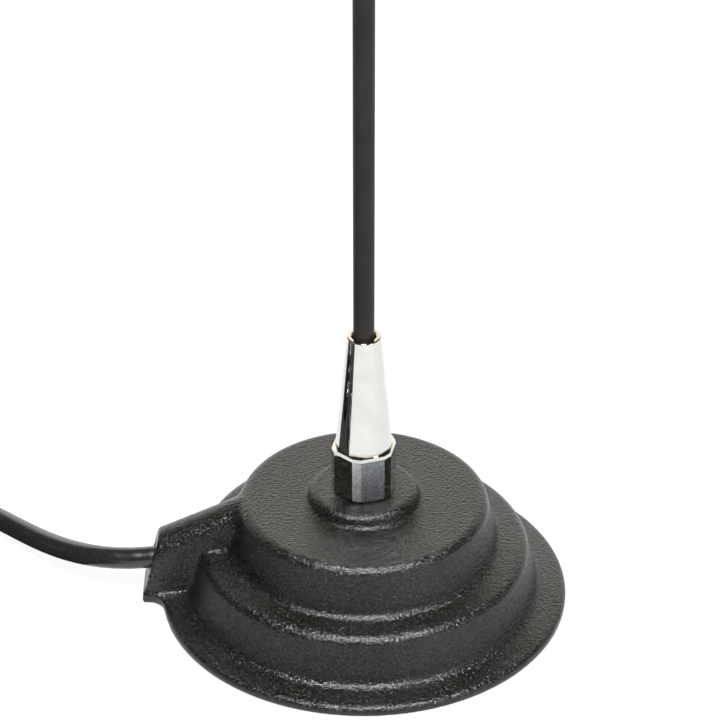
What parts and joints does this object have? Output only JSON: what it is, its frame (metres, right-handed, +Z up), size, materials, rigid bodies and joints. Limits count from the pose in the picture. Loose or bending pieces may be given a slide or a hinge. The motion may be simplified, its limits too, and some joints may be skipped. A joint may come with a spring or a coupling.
{
  "type": "omnidirectional whip antenna",
  "caption": "Short black whip in a chrome hexagonal ferrule on a round stepped magnetic base, with a coaxial lead that ends in a screw-on radio plug.",
  "frame": {"origin": "on the whip's axis, at the underside of the magnetic base", "axes": "+Z up along the whip, cable outlet towards -X"},
  "size_m": [0.24, 0.1129, 0.45],
  "materials": {
    "black_cast": "fine textured black powder coat on zinc casting",
    "black_rubber": "matt black rubber",
    "zinc_steel": "zinc plated steel",
    "ferrite": "dark grey ferrite, ground faces",
    "nickel": "nickel plated, satin bright",
    "white_plastic": "off-white insulating plastic",
    "brass": "turned brass",
    "copper": "bright copper",
    "black_jacket": "smooth glossy black cable jacket",
    "black_fabric": "black woven hook-and-loop strap",
    "chrome": "bright mirror chrome plating",
    "glass_fibre": "pultruded glass fibre rod",
    "black_sleeve": "satin black shrink sleeve"
  },
  "bodies": {
    "base": {"base_shell": "black_cast", "base_pad": "black_rubber", "magnet_pot": "zinc_steel", "ring_magnet": "ferrite", "pole_hub": "zinc_steel", "pot_screw_1": "nickel", "pot_screw_2": "nickel", "pot_screw_3": "nickel", "insulator_bush": "white_plastic", "insulator_washer": "white_plastic", "contact_stud": "brass", "solder_tag": "brass", "lock_washer": "zinc_steel", "stud_nut": "nickel", "coax_jacket": "black_jacket", "coax_dielectric": "white_plastic", "coax_conductor": "copper", "braid_tail": "copper", "earth_tag": "brass", "earth_screw": "nickel", "cable_clamp": "zinc_steel", "clamp_screw_1": "nickel", "clamp_screw_2": "nickel", "cable_grommet": "black_rubber", "coax_lead": "black_jacket", "coax_coil": "black_jacket", "coil_tie_1": "black_fabric", "coil_tie_2": "black_fabric", "coax_tail": "black_jacket", "plug_boot": "black_rubber", "plug_reducer": "nickel", "plug_body": "nickel", "plug_insulator": "white_plastic", "plug_pin": "nickel", "tail_dielectric": "white_plastic"},
    "plug_ring": {"plug_coupling_ring": "nickel"},
    "seal": {"seal_ring": "black_rubber"},
    "whip": {"whip_ferrule": "chrome", "whip_core": "glass_fibre", "whip_winding": "copper", "whip_sleeve": "black_sleeve", "whip_tip_cap": "black_rubber"}
  },
  "joints": [
    {"name": "ferrule_lift", "type": "slide", "parent": "base", "child": "seal", "axis": [0, 0, 1], "range_m": [0, 0.008]},
    {"name": "whip_unscrew", "type": "hinge", "parent": "seal", "child": "whip", "pos_m": [0, 0, 0.0296], "axis": [0, 0, 1], "range_deg": [0, 2881]},
    {"name": "plug_ring_spin", "type": "hinge", "parent": "base", "child": "plug_ring", "pos_m": [-0.0855, -0.046, 0.0093], "axis": [1, 0, 0], "continuous": true}
  ],
  "couplings": [
    {"joint": "whip_unscrew", "follows": "ferrule_lift", "rad_per_m": 6283.2}
  ]
}
